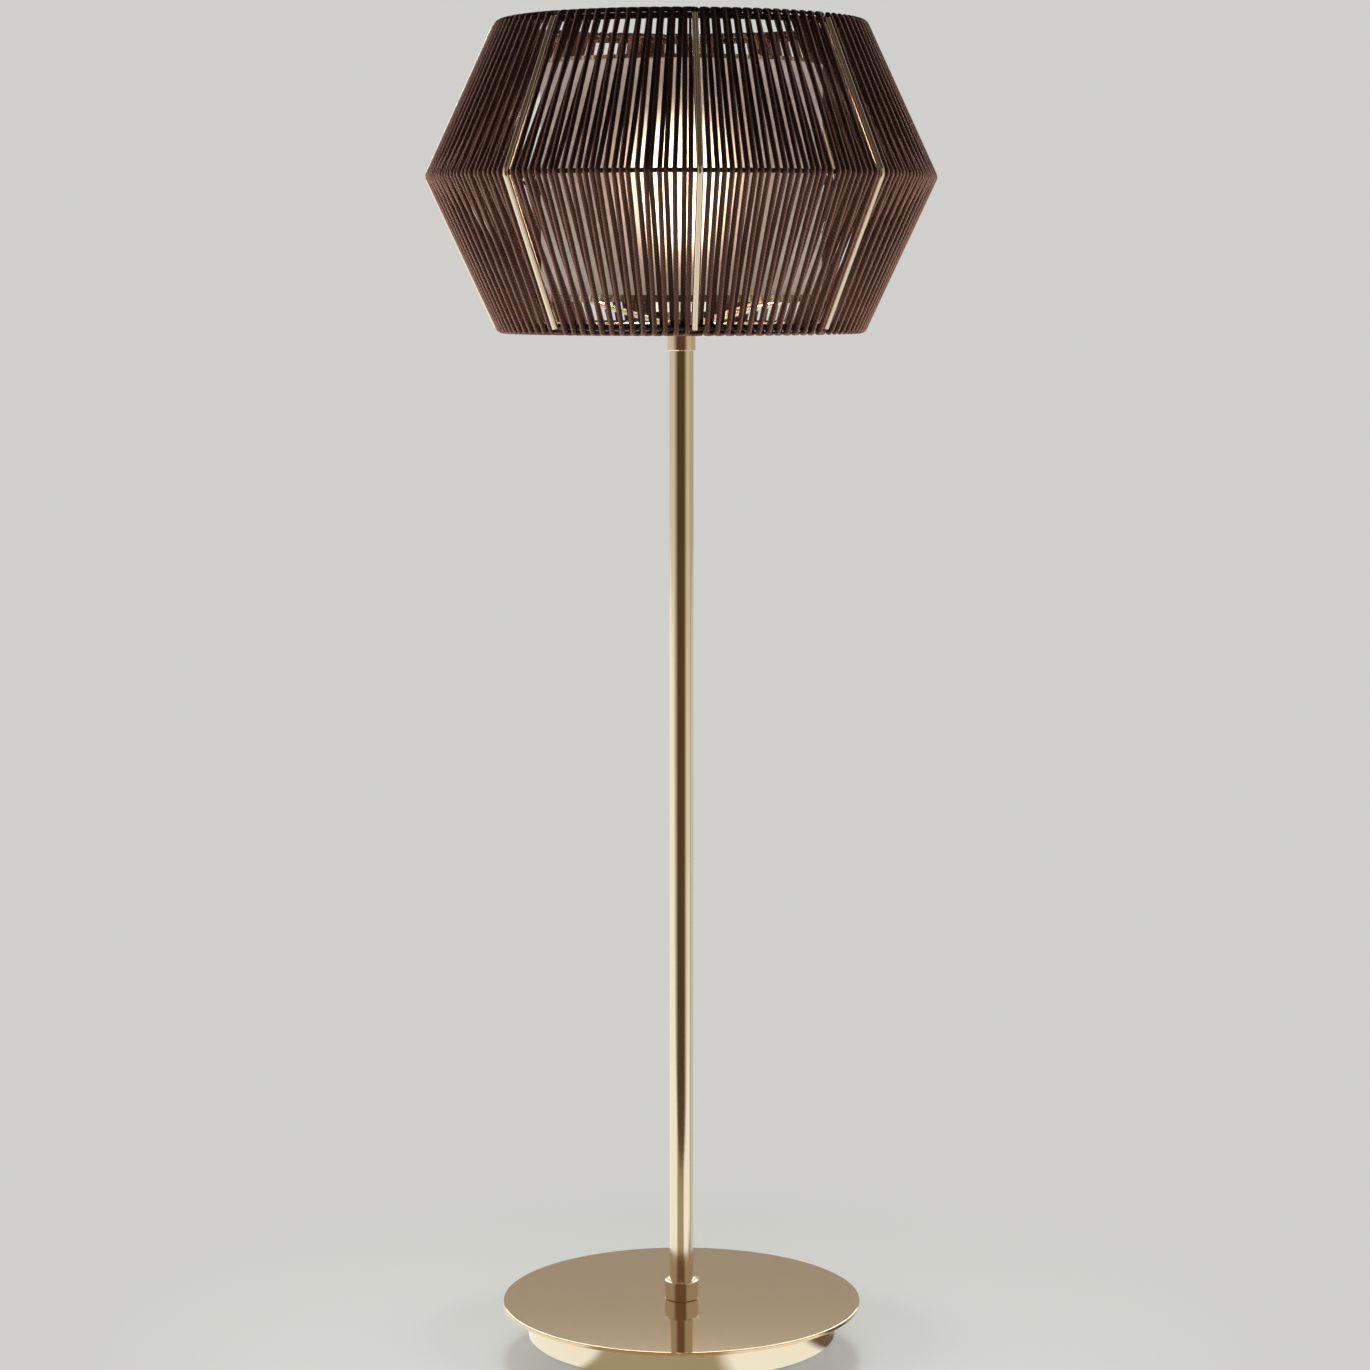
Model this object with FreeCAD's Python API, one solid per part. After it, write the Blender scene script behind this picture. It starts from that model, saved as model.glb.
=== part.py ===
import FreeCAD
import Part
import math
import os

from FreeCAD import Vector

# Table lamp: a stepped brass base, a slim stem and a double-cone shade strung with cord.
# Millimetres, +Z up, the origin on the table under the middle of the base.

# Base
felt_thickness = 1.5
felt_inset = 3.0
drum_radius = 104.0
drum_height = 20.6
drum_wall = 1.5
plate_overhang = 17.0
plate_thickness = 2.4
cover_thickness = 2.0
lead_room = 4.1
nut_socket_room = 3.0
cover_boss_radius = 6.0
cover_screw_count = 3
cover_screw_circle = 80.0
cover_screw_radius = 2.0
cover_screw_head_radius = 4.0
cover_screw_length = 10.5
base_washer_radius = 15.0
base_washer_thickness = 2.0
base_nut_across_flats = 17.0
base_nut_height = 5.0
bush_height = 10.5
bush_neck_radius = 4.5
bush_bore_radius = 3.5
bush_flange_radius = 6.5
bush_flange_thickness = 2.0
bush_barb_radius = 5.2
bush_barb_thickness = 1.8

# Stem
stem_radius = 8.0
stem_wall = 1.5
stem_length = 647.0
plug_length = 18.0
nipple_radius = 5.0
nipple_bore_radius = 3.25
nipple_thread_depth = 14.0
nipple_overrun = 1.0
lower_collar_wall = 3.5
lower_collar_height = 13.0
upper_collar_wall = 1.3
upper_collar_overlap = 6.0
upper_collar_land = 4.75
collar_chamfer = 0.7
bearing_washer_thickness = 2.0

# Shade: radii and heights of the outside of the cords
shade_height = 202.5
shade_rim_radius = 122.5
shade_mid_radius = 167.0
rim_ring_rod = 2.0
mid_ring_rod = 1.5
rib_count = 8
rib_first_angle = 4.0
rib_rod = 2.2
rib_saddle = 0.3
rib_bend_radius = 6.0
rib_end_setback = 1.0
cord_radius = 1.6
cord_pairs_per_bay = 13
cord_pair_step = 2.9
cord_rib_gap = 0.5
cord_mid_rib_gap = 1.8
cord_behind_rib = 1.9
cord_wrap_turn = 75.0

# Spider that carries the shade on the stem
hub_radius = 15.0
hub_height = 8.0
spider_arm_count = 4
spider_arm_rod = 2.0
arm_socket_depth = 6.0
spring_washer_radius = 10.0
spring_washer_thickness = 0.8
lock_nut_across_flats = 17.0
lock_nut_height = 4.0

# Diffuser inside the shade
diffuser_radius = 92.0
diffuser_wall = 2.0
diffuser_lift = 17.15
diffuser_height = 151.5
trim_wall = 1.5
bottom_trim_height = 4.5
top_trim_height = 2.5
trim_floor = 1.5
diffuser_arm_count = 4
diffuser_arm_rod = 1.6

# Lamp holder and bulb
holder_wall = 2.0
holder_room = 3.6
holder_cap_height = 12.0
holder_body_height = 30.0
holder_spigot_height = 4.0
holder_shelf = 2.0
nipple_above_cap_floor = 4.0
insulator_thickness = 4.0
shell_wall = 0.5
shell_height = 22.0
contact_post_radius = 2.0
contact_post_length = 3.0
contact_plate_radius = 5.0
contact_plate_thickness = 1.75
bulb_radius = 30.0
bulb_length = 105.0
bulb_wall = 1.2
bulb_edge_angle = 64.0
bulb_neck_step = 1.5
bulb_cap_radius = 13.0
bulb_cap_wall = 0.6
bulb_cap_length = 26.5
bulb_cap_shoulder = 4.0
bulb_eyelet_radius = 4.6
bulb_eyelet_height = 2.0

# Fits: what is pushed together, what runs, and what stays clear
fixed_fit = 0.02
running_fit = 0.05
slip_fit = 0.1
bulb_fit = 0.4
axial_play = 0.1
weight_clearance = 0.5
cord_clearance = 0.15


# Heights that follow from the sizes above
drum_bottom = felt_thickness
drum_top = drum_bottom + drum_height
drum_bore = drum_radius - drum_wall
plate_top = drum_top + plate_thickness
cover_top = drum_bottom + cover_thickness
weight_top = drum_top - drum_wall
weight_bottom = cover_top + lead_room
base_nut_bottom = weight_bottom + nipple_overrun
base_nut_top = base_nut_bottom + base_nut_height
pocket_top = base_nut_top + base_washer_thickness
pocket_radius = max(base_washer_radius, base_nut_across_flats / math.sqrt(3)) + nut_socket_room
stem_top = plate_top + stem_length
stem_bore = stem_radius - stem_wall
upper_collar_bottom = stem_top - upper_collar_overlap
upper_collar_top = stem_top + upper_collar_land
upper_collar_radius = stem_radius + upper_collar_wall
bearing_washer_top = upper_collar_top + bearing_washer_thickness

rim_wrap_radius = rim_ring_rod + cord_clearance + cord_radius
mid_wrap_radius = mid_ring_rod + cord_clearance + cord_radius
rim_reach = rim_wrap_radius + cord_radius
rim_ring_radius = shade_rim_radius - rim_reach
hub_bottom = bearing_washer_top + axial_play
hub_top = hub_bottom + hub_height
bottom_ring_height = hub_bottom + hub_height / 2
top_ring_height = bottom_ring_height + shade_height - 2 * rim_reach
mid_ring_height = (bottom_ring_height + top_ring_height) / 2
rib_rim_offset = rim_ring_rod + rib_rod - rib_saddle
rib_mid_offset = mid_ring_rod + rib_rod - rib_saddle
mid_ring_radius = shade_mid_radius - mid_wrap_radius - cord_clearance - cord_radius
bay_angle = 360.0 / rib_count
cords_per_bay = 2 * cord_pairs_per_bay

spring_washer_bottom = hub_top + axial_play
lock_nut_bottom = spring_washer_bottom + spring_washer_thickness
holder_bottom = lock_nut_bottom + lock_nut_height
cap_floor_top = holder_bottom + holder_wall
holder_seam = holder_bottom + holder_cap_height
shell_bore = bulb_cap_radius + bulb_fit
shell_radius = shell_bore + shell_wall
holder_bore = shell_radius + holder_room
holder_radius = holder_bore + holder_wall
insulator_top = holder_seam + insulator_thickness
contact_top = insulator_top + contact_plate_thickness
bulb_bottom = contact_top + axial_play
bulb_cap_bottom = bulb_bottom + bulb_eyelet_height
bulb_cap_top = bulb_bottom + bulb_cap_length
bulb_top = bulb_bottom + bulb_length
bulb_centre = bulb_top - bulb_radius
bulb_edge_radius = bulb_radius * math.sin(math.radians(bulb_edge_angle))
bulb_edge_height = bulb_centre - bulb_radius * math.cos(math.radians(bulb_edge_angle))
bulb_neck_radius = bulb_cap_radius + bulb_neck_step
diffuser_bottom = bottom_ring_height + diffuser_lift
trim_bottom = diffuser_bottom - trim_floor
trim_inner = diffuser_radius - diffuser_wall - slip_fit - trim_wall
trim_outer = diffuser_radius + slip_fit + trim_wall
diffuser_top = diffuser_bottom + diffuser_height

up = Vector(0, 0, 1)
middle = Vector(0, 0, 0)


def disc(radius, bottom, top):
    """Upright cylinder on the lamp's axis."""
    return Part.makeCylinder(radius, top - bottom, Vector(0, 0, bottom))


def tube(outer, inner, bottom, top):
    """Upright ring on the lamp's axis."""
    return disc(outer, bottom, top).cut(disc(inner, bottom, top))


def turned(outline):
    """Solid turned about the lamp's axis from a closed outline of (radius, height) corners."""
    corners = [Vector(radius, 0, height) for radius, height in outline]
    corners.append(corners[0])
    return Part.Face(Part.makePolygon(corners)).revolve(middle, up, 360)


def hexagon(across_flats, bottom, top):
    """Upright hexagonal bar on the lamp's axis."""
    corner_radius = across_flats / math.sqrt(3)
    corners = []
    for step in range(7):
        angle = math.radians(60 * step)
        corners.append(Vector(corner_radius * math.cos(angle), corner_radius * math.sin(angle), bottom))
    return Part.Face(Part.makePolygon(corners)).extrude(Vector(0, 0, top - bottom))


def around(shape, angle):
    """Copy of a shape modelled along +X, placed at an angle counted from the front (-Y) towards +X."""
    copy = shape.copy()
    copy.rotate(middle, up, angle - 90.0)
    return copy


def at_angle(radius, angle, height):
    """Point at an angle counted from the front (-Y) towards +X."""
    return Vector(radius * math.sin(math.radians(angle)), -radius * math.cos(math.radians(angle)), height)


def rod_between(start, end, radius):
    """Straight round rod from one point to another."""
    return Part.makeCylinder(radius, (end - start).Length, start, end - start)


def hoop(radius, rod, height):
    """Round rod bent to a ring on the lamp's axis."""
    return Part.makeTorus(radius, rod, Vector(0, 0, height), up)


def swept_rod(edges, radius):
    """Round rod or cord along a path of tangent lines and arcs."""
    path = Part.Wire(edges)
    first = edges[0]
    start = first.valueAt(first.FirstParameter)
    heading = first.tangentAt(first.FirstParameter)
    section = Part.Wire(Part.makeCircle(radius, start, heading))
    return path.makePipeShell([section], True, False)


def face_tilt(reach, rim_offset, mid_offset):
    """Tilt above level of the normal of a line that touches a circle at the top rim and one at the middle."""
    drop = top_ring_height - mid_ring_height
    length = math.hypot(reach, drop)
    along = (rim_offset - mid_offset) / length
    return math.atan2(reach, drop) - math.asin(along)


def export(name, shape):
    """One file for each piece or group of like pieces."""
    shape.exportStep("parts/" + name + ".step")


os.makedirs("parts", exist_ok=True)

# Base: felt, cover and screws, weight, drum and plate
felt = disc(drum_radius - felt_inset, 0, felt_thickness)
export("felt_pad", felt)

cover = disc(drum_bore - weight_clearance, drum_bottom, cover_top)
weight = disc(drum_bore - weight_clearance, weight_bottom, weight_top)
weight = weight.cut(disc(pocket_radius, weight_bottom, pocket_top))
screws = []
for index in range(cover_screw_count):
    spot = at_angle(cover_screw_circle, 360.0 / cover_screw_count * index, drum_bottom)
    boss = Part.makeCylinder(cover_boss_radius, weight_bottom - cover_top, spot + up * cover_thickness)
    shank = Part.makeCylinder(cover_screw_radius, cover_screw_length, spot)
    sink_depth = cover_screw_head_radius - cover_screw_radius
    head = Part.makeCone(cover_screw_head_radius, cover_screw_radius, sink_depth, spot)
    screws.append(shank.fuse(head).removeSplitter())
    hole_radius = cover_screw_radius + running_fit
    hole = Part.makeCylinder(hole_radius, cover_screw_length + axial_play, spot)
    sink = Part.makeCone(cover_screw_head_radius + running_fit, hole_radius, sink_depth, spot)
    weight = weight.fuse(boss).cut(hole)
    cover = cover.cut(hole).cut(sink)
slot_half_width = bush_flange_radius + weight_clearance
slot_top = bush_height + bush_barb_radius + weight_clearance
lead_slot = Part.makeBox(
    2 * slot_half_width, drum_radius, slot_top - weight_bottom, Vector(-slot_half_width, 0, weight_bottom)
)
weight = weight.cut(lead_slot).cut(disc(nipple_radius + slip_fit, weight_bottom, weight_top))
export("bottom_cover", cover)
export("cover_screws", Part.makeCompound(screws))
export("base_weight", weight.removeSplitter())

drum = disc(drum_radius, drum_bottom, drum_top).cut(disc(drum_bore, drum_bottom, weight_top))
drum = drum.cut(disc(nipple_radius + slip_fit, weight_top, drum_top))
toward_back = Vector(0, 1, 0)
bush_axis = Vector(0, 0, bush_height)
bush_hole = Part.makeCylinder(bush_neck_radius + slip_fit, drum_radius + drum_wall, bush_axis, toward_back)
drum = drum.cut(bush_hole)
export("base_drum", drum)

plate = tube(drum_radius + plate_overhang, nipple_radius + slip_fit, drum_top, plate_top)
export("base_plate", plate)

# Cable bush: a flange outside the drum wall, a neck through it and a barb behind it
barb_back = math.sqrt(drum_bore**2 - bush_barb_radius**2) - slip_fit
barb_front = barb_back - bush_barb_thickness
flange_face = drum_radius + running_fit
flange = Part.makeCylinder(
    bush_flange_radius, bush_flange_thickness, bush_axis + toward_back * flange_face, toward_back
)
bush_end = bush_axis + toward_back * barb_front
neck = Part.makeCylinder(bush_neck_radius, flange_face - barb_front, bush_end, toward_back)
barb = Part.makeCylinder(bush_barb_radius, bush_barb_thickness, bush_end, toward_back)
bush_bore = Part.makeCylinder(bush_bore_radius, 2 * drum_radius, bush_axis, toward_back)
bush = flange.fuse([neck, barb]).cut(bush_bore).removeSplitter()
export("cable_bush", bush)

# Clamp that pulls stem, plate, drum and weight together
export("base_washer", tube(base_washer_radius, nipple_radius + slip_fit, base_nut_top, pocket_top))
base_nut = hexagon(base_nut_across_flats, base_nut_bottom, base_nut_top)
base_nut = base_nut.cut(disc(nipple_radius + fixed_fit, base_nut_bottom, base_nut_top))
export("base_nut", base_nut)
lower_nipple_top = plate_top + nipple_thread_depth
lower_nipple = tube(nipple_radius, nipple_bore_radius, base_nut_bottom - nipple_overrun, lower_nipple_top)
export("lower_nipple", lower_nipple)

# Stem with its two threaded plugs and two collars
export("stem_tube", tube(stem_radius, stem_bore, plate_top, stem_top))
plug_radius = stem_bore - fixed_fit
plug_thread = nipple_radius + fixed_fit
export("stem_foot_plug", tube(plug_radius, plug_thread, plate_top, plate_top + plug_length))
export("stem_head_plug", tube(plug_radius, plug_thread, stem_top - plug_length, stem_top))
lower_collar_top = plate_top + lower_collar_height
collar_bore = stem_radius + running_fit
lower_collar_radius = stem_radius + lower_collar_wall
lower_collar = turned([
    (collar_bore, plate_top),
    (lower_collar_radius, plate_top),
    (lower_collar_radius, lower_collar_top - collar_chamfer),
    (lower_collar_radius - collar_chamfer, lower_collar_top),
    (collar_bore, lower_collar_top),
])
export("lower_collar", lower_collar)
nipple_hole = nipple_radius + running_fit
upper_collar = turned([
    (collar_bore, upper_collar_bottom),
    (upper_collar_radius - collar_chamfer, upper_collar_bottom),
    (upper_collar_radius, upper_collar_bottom + collar_chamfer),
    (upper_collar_radius, upper_collar_top),
    (nipple_hole, upper_collar_top),
    (nipple_hole, stem_top),
    (collar_bore, stem_top),
])
export("upper_collar", upper_collar)
export("bearing_washer", tube(upper_collar_radius, nipple_hole, upper_collar_top, bearing_washer_top))
upper_nipple_top = cap_floor_top + nipple_above_cap_floor
upper_nipple = tube(nipple_radius, nipple_bore_radius, stem_top - nipple_thread_depth, upper_nipple_top)
export("upper_nipple", upper_nipple)

# Shade rings
export("bottom_ring", hoop(rim_ring_radius, rim_ring_rod, bottom_ring_height))
export("mid_ring", hoop(mid_ring_radius, mid_ring_rod, mid_ring_height))
export("top_ring", hoop(rim_ring_radius, rim_ring_rod, top_ring_height))
ring_room = [
    hoop(rim_ring_radius, rim_ring_rod + fixed_fit, bottom_ring_height),
    hoop(mid_ring_radius, mid_ring_rod + fixed_fit, mid_ring_height),
    hoop(rim_ring_radius, rim_ring_rod + fixed_fit, top_ring_height),
]

# Ribs: brass rods bent once, notched over the three rings
rib_tilt = face_tilt(mid_ring_radius - rim_ring_radius, rib_rim_offset, rib_mid_offset)
rib_corner = mid_ring_radius + rib_mid_offset / math.cos(rib_tilt)
bend_centre = rib_corner - rib_bend_radius / math.cos(rib_tilt)
bend_end = Vector(
    bend_centre + rib_bend_radius * math.cos(rib_tilt),
    0,
    mid_ring_height + rib_bend_radius * math.sin(rib_tilt),
)
rib_top = Vector(
    rim_ring_radius + rib_rim_offset * math.cos(rib_tilt) + rib_end_setback * math.sin(rib_tilt),
    0,
    top_ring_height + rib_rim_offset * math.sin(rib_tilt) - rib_end_setback * math.cos(rib_tilt),
)


def below(point):
    """Mirror of a point in the level of the middle ring."""
    return Vector(point.x, point.y, 2 * mid_ring_height - point.z)


rib_path = [
    Part.LineSegment(rib_top, bend_end).toShape(),
    Part.Arc(bend_end, Vector(bend_centre + rib_bend_radius, 0, mid_ring_height), below(bend_end)).toShape(),
    Part.LineSegment(below(bend_end), below(rib_top)).toShape(),
]
rib = swept_rod(rib_path, rib_rod).cut(Part.makeCompound(ring_room))
for index in range(rib_count):
    export("rib_" + str(index + 1), around(rib, rib_first_angle + bay_angle * index))

# Cords: laced from ring to ring. Each strand lies outside one rim ring and leaves the other from the
# inside, partly behind its neighbour, and the last one at the top partly behind the rib. All are
# evenly spread at the middle ring
rim_side_offset = max(rib_rod, spider_arm_rod) + cord_rib_gap + cord_radius
mid_side_offset = rib_rod + cord_mid_rib_gap + cord_radius
rim_first_angle = math.degrees(math.asin(rim_side_offset / rim_ring_radius))
behind_rib_angle = math.degrees(math.asin(cord_behind_rib / rim_ring_radius))
mid_first_angle = math.degrees(math.asin(mid_side_offset / mid_ring_radius))
pair_spread = math.degrees(cord_pair_step / rim_ring_radius)
top_span = bay_angle - rim_first_angle - behind_rib_angle
bottom_span = bay_angle - 2 * rim_first_angle
top_pair_space = (top_span - (cord_pairs_per_bay - 1) * pair_spread) / cord_pairs_per_bay
bottom_pair_space = (bottom_span - cord_pairs_per_bay * pair_spread) / (cord_pairs_per_bay - 1)
mid_step = (bay_angle - 2 * mid_first_angle) / (cords_per_bay - 1)
inside_tilt = face_tilt(mid_ring_radius - rim_ring_radius, -rim_wrap_radius, mid_wrap_radius)
corner_radius = mid_ring_radius + (mid_wrap_radius + cord_clearance) / math.cos(inside_tilt)


def rim_angle(index, odd_step, even_step):
    """Angle of a strand at a rim, where the steps from strand to strand alternate."""
    return rim_first_angle + odd_step * ((index + 1) // 2) + even_step * (index // 2)


def rim_run(corner, angle, side):
    """Where a strand from the corner meets the top ring, and the middle and the end of its wrap round it."""
    centre = at_angle(rim_ring_radius, angle, top_ring_height)
    toward = centre - corner
    level = Vector(toward.x, toward.y, 0).normalize()
    run = level.dot(toward)
    slope = math.atan2(toward.z, run) + side * math.asin(rim_wrap_radius / math.hypot(run, toward.z))

    def wrap_point(turn):
        direction = slope + side * math.radians(90 - turn)
        reach = level * math.cos(direction) + up * math.sin(direction)
        return centre + reach * rim_wrap_radius

    return wrap_point(0), wrap_point(cord_wrap_turn / 2), wrap_point(cord_wrap_turn)


def cord_strand(index):
    """One strand of the bay at angle zero: off the top ring, past the middle and onto the bottom ring."""
    side = 1 if index % 2 == 0 else -1
    corner = at_angle(corner_radius, mid_first_angle + mid_step * index, mid_ring_height)
    top = rim_run(corner, rim_angle(index, top_pair_space, pair_spread), side)
    bottom = rim_run(corner, rim_angle(index, pair_spread, bottom_pair_space), -side)
    bottom = [below(point) for point in bottom]
    arriving = (corner - top[0]).normalize()
    leaving = (bottom[0] - corner).normalize()
    half_turn = arriving.getAngle(leaving) / 2
    bend_length = mid_wrap_radius * math.tan(half_turn)
    bend_start = corner - arriving * bend_length
    bend_finish = corner + leaving * bend_length
    inward = (leaving - arriving).normalize()
    bend_middle = corner + inward * (mid_wrap_radius / math.cos(half_turn) - mid_wrap_radius)
    path = [
        Part.Arc(top[2], top[1], top[0]).toShape(),
        Part.LineSegment(top[0], bend_start).toShape(),
        Part.Arc(bend_start, bend_middle, bend_finish).toShape(),
        Part.LineSegment(bend_finish, bottom[0]).toShape(),
        Part.Arc(bottom[0], bottom[1], bottom[2]).toShape(),
    ]
    return swept_rod(path, cord_radius)


bay = Part.makeCompound([cord_strand(index) for index in range(cords_per_bay)])
for index in range(rib_count):
    turned_bay = bay.copy()
    turned_bay.rotate(middle, up, rib_first_angle + bay_angle * index)
    export("cord_bay_" + str(index + 1), turned_bay)

# Spider: a hub on the upper nipple, arms to the bottom ring and to the diffuser
hub = tube(hub_radius, nipple_hole, hub_bottom, hub_top)
arm_start = Vector(hub_radius - arm_socket_depth, 0, bottom_ring_height)
arm_end = Vector(rim_ring_radius, 0, bottom_ring_height)
arm = rod_between(arm_start, arm_end, spider_arm_rod).cut(ring_room[0])
socket = rod_between(arm_start, arm_end, spider_arm_rod + fixed_fit)
brace_end = Vector((trim_inner + trim_outer) / 2, 0, trim_bottom + trim_floor / 2)
trim_room = tube(trim_outer, trim_inner - fixed_fit, trim_bottom - fixed_fit, diffuser_top)
brace = rod_between(arm_start, brace_end, diffuser_arm_rod).cut(trim_room)
brace_socket = rod_between(arm_start, brace_end, diffuser_arm_rod + fixed_fit)
for index in range(spider_arm_count):
    arm_angle = rib_first_angle + 360.0 / spider_arm_count * index
    export("spider_arm_" + str(index + 1), around(arm, arm_angle))
    hub = hub.cut(around(socket, arm_angle))
for index in range(diffuser_arm_count):
    brace_angle = rib_first_angle + 360.0 / diffuser_arm_count * (index + 0.5)
    export("diffuser_arm_" + str(index + 1), around(brace, brace_angle))
    hub = hub.cut(around(brace_socket, brace_angle))
export("spider_hub", hub)
export("spring_washer", tube(spring_washer_radius, nipple_hole, spring_washer_bottom, lock_nut_bottom))
lock_nut = hexagon(lock_nut_across_flats, lock_nut_bottom, holder_bottom)
lock_nut = lock_nut.cut(disc(nipple_radius + fixed_fit, lock_nut_bottom, holder_bottom))
export("hub_lock_nut", lock_nut)

# Diffuser: a white sleeve held in two brass channel rings
diffuser_bore = diffuser_radius - diffuser_wall
export("diffuser_sleeve", tube(diffuser_radius, diffuser_bore, diffuser_bottom, diffuser_top))


def channel_ring(height):
    """Ring that takes the bottom edge of the sleeve in a channel."""
    ring_top = trim_bottom + height
    channel = tube(diffuser_radius + slip_fit, diffuser_bore - slip_fit, diffuser_bottom, ring_top)
    return tube(trim_outer, trim_inner, trim_bottom, ring_top).cut(channel)


export("diffuser_bottom_trim", channel_ring(bottom_trim_height))
top_trim = channel_ring(top_trim_height).mirror(Vector(0, 0, (diffuser_bottom + diffuser_top) / 2), up)
export("diffuser_top_trim", top_trim)

# Lamp holder
cap_shell = disc(holder_radius, holder_bottom, holder_seam).cut(disc(holder_bore, cap_floor_top, holder_seam))
cap_shell = cap_shell.cut(disc(nipple_hole, holder_bottom, cap_floor_top))
export("holder_cap", cap_shell)
spigot_radius = holder_bore - slip_fit
spigot_bottom = holder_seam - holder_spigot_height
shelf_radius = holder_bore - holder_shelf
body_top = holder_seam + holder_body_height
holder_body = turned([
    (shelf_radius, spigot_bottom),
    (spigot_radius, spigot_bottom),
    (spigot_radius, holder_seam),
    (holder_radius, holder_seam),
    (holder_radius, body_top),
    (holder_bore, body_top),
    (holder_bore, holder_seam),
    (shelf_radius, holder_seam),
])
export("holder_body", holder_body)
export("holder_insulator", tube(spigot_radius, contact_post_radius + running_fit, holder_seam, insulator_top))
export("screw_shell", tube(shell_radius, shell_bore, insulator_top, insulator_top + shell_height))
contact_post = disc(contact_post_radius, holder_seam - contact_post_length, insulator_top)
contact_plate = disc(contact_plate_radius, insulator_top, contact_top)
export("centre_contact", contact_plate.fuse(contact_post).removeSplitter())

# Bulb: a screw cap with its eyelet, a white housing and an opal globe
eyelet_top = bulb_cap_bottom + bulb_cap_wall
export("bulb_eyelet", disc(bulb_eyelet_radius, bulb_bottom, eyelet_top))
eyelet_hole = bulb_eyelet_radius + bulb_fit
cap_bore = bulb_cap_radius - bulb_cap_wall
shoulder_top = bulb_cap_bottom + bulb_cap_shoulder
bulb_cap = turned([
    (eyelet_hole, bulb_cap_bottom),
    (bulb_cap_radius, shoulder_top),
    (bulb_cap_radius, bulb_cap_top),
    (cap_bore, bulb_cap_top),
    (cap_bore, shoulder_top + bulb_cap_wall),
    (eyelet_hole, bulb_cap_bottom + bulb_cap_wall),
])
export("bulb_cap", bulb_cap)
housing_floor = bulb_edge_height - bulb_wall
housing = turned([
    (bulb_neck_radius - 2 * bulb_wall, bulb_cap_top),
    (bulb_neck_radius, bulb_cap_top),
    (bulb_edge_radius, bulb_edge_height),
    (0, bulb_edge_height),
    (0, housing_floor),
    (bulb_edge_radius - 2 * bulb_wall, housing_floor),
])
export("bulb_housing", housing)


def globe_point(radius, height):
    """Point on a sphere about the bulb's centre, at a height above it."""
    return Vector(math.sqrt(max(radius**2 - height**2, 0.0)), 0, bulb_centre + height)


globe_inner = bulb_radius - bulb_wall
edge_drop = bulb_edge_height - bulb_centre
outer_edge = globe_point(bulb_radius, edge_drop)
inner_edge = globe_point(globe_inner, edge_drop)
outer_top = globe_point(bulb_radius, bulb_radius)
inner_top = globe_point(globe_inner, globe_inner)
globe_outline = Part.Wire([
    Part.Arc(outer_edge, globe_point(bulb_radius, 0), outer_top).toShape(),
    Part.LineSegment(outer_top, inner_top).toShape(),
    Part.Arc(inner_top, globe_point(globe_inner, 0), inner_edge).toShape(),
    Part.LineSegment(inner_edge, outer_edge).toShape(),
])
export("bulb_globe", Part.Face(globe_outline).revolve(middle, up, 360))
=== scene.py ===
import math
import random

import bpy
from mathutils import Matrix, Vector


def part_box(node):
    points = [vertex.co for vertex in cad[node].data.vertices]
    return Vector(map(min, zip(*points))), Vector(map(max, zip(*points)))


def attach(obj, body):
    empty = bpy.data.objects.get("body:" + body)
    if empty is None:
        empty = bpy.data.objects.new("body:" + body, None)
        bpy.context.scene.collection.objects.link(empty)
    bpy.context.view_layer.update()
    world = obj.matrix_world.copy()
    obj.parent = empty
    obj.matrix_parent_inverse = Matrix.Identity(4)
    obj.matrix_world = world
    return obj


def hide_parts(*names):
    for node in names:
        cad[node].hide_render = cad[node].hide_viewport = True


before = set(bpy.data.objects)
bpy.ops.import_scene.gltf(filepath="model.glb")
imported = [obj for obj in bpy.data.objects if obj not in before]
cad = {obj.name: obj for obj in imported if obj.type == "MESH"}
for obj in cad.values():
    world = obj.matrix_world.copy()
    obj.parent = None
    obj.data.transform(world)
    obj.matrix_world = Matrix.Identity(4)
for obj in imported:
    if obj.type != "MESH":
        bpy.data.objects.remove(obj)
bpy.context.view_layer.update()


# Felt pad: a disc of black pressed wool, glued under the drum so that it doesn't scratch the table.
# It is punched from sheet, so its edge is soft and a little ragged.
felt_rounding = 0.0005
felt_raggedness = 0.00025
felt_seed = 3
felt_colour = (0.012, 0.012, 0.013, 1)
felt_light_fibre = (0.05, 0.048, 0.046, 1)
felt_roughness = 0.95
felt_sheen = 0.4


def on_axis(point):
    """Whether a (radius, height) point lies on the stem's axis."""
    return point.x < 1e-9


def rounded(outline, rounding):
    """Closed outline of (radius, height) corners, with a small arc at each corner off the axis.

    A point a little beyond each end of the arc keeps the flat faces flat under smooth shading.
    """
    arc_steps = 5
    most_of_side = 0.3
    flat_from = 1.5
    points = []
    for index, corner in enumerate(outline):
        here = Vector(corner)
        before = Vector(outline[index - 1]) - here
        after = Vector(outline[(index + 1) % len(outline)]) - here
        if on_axis(here):
            points.append(here)
            continue
        reach = min(rounding, before.length * most_of_side, after.length * most_of_side)
        start = here + before.normalized() * reach
        end = here + after.normalized() * reach
        points.append(here + before.normalized() * reach * flat_from)
        for step in range(arc_steps + 1):
            share = step / arc_steps
            points.append(start.lerp(here, share).lerp(here.lerp(end, share), share))
        points.append(here + after.normalized() * reach * flat_from)
    return points


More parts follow.
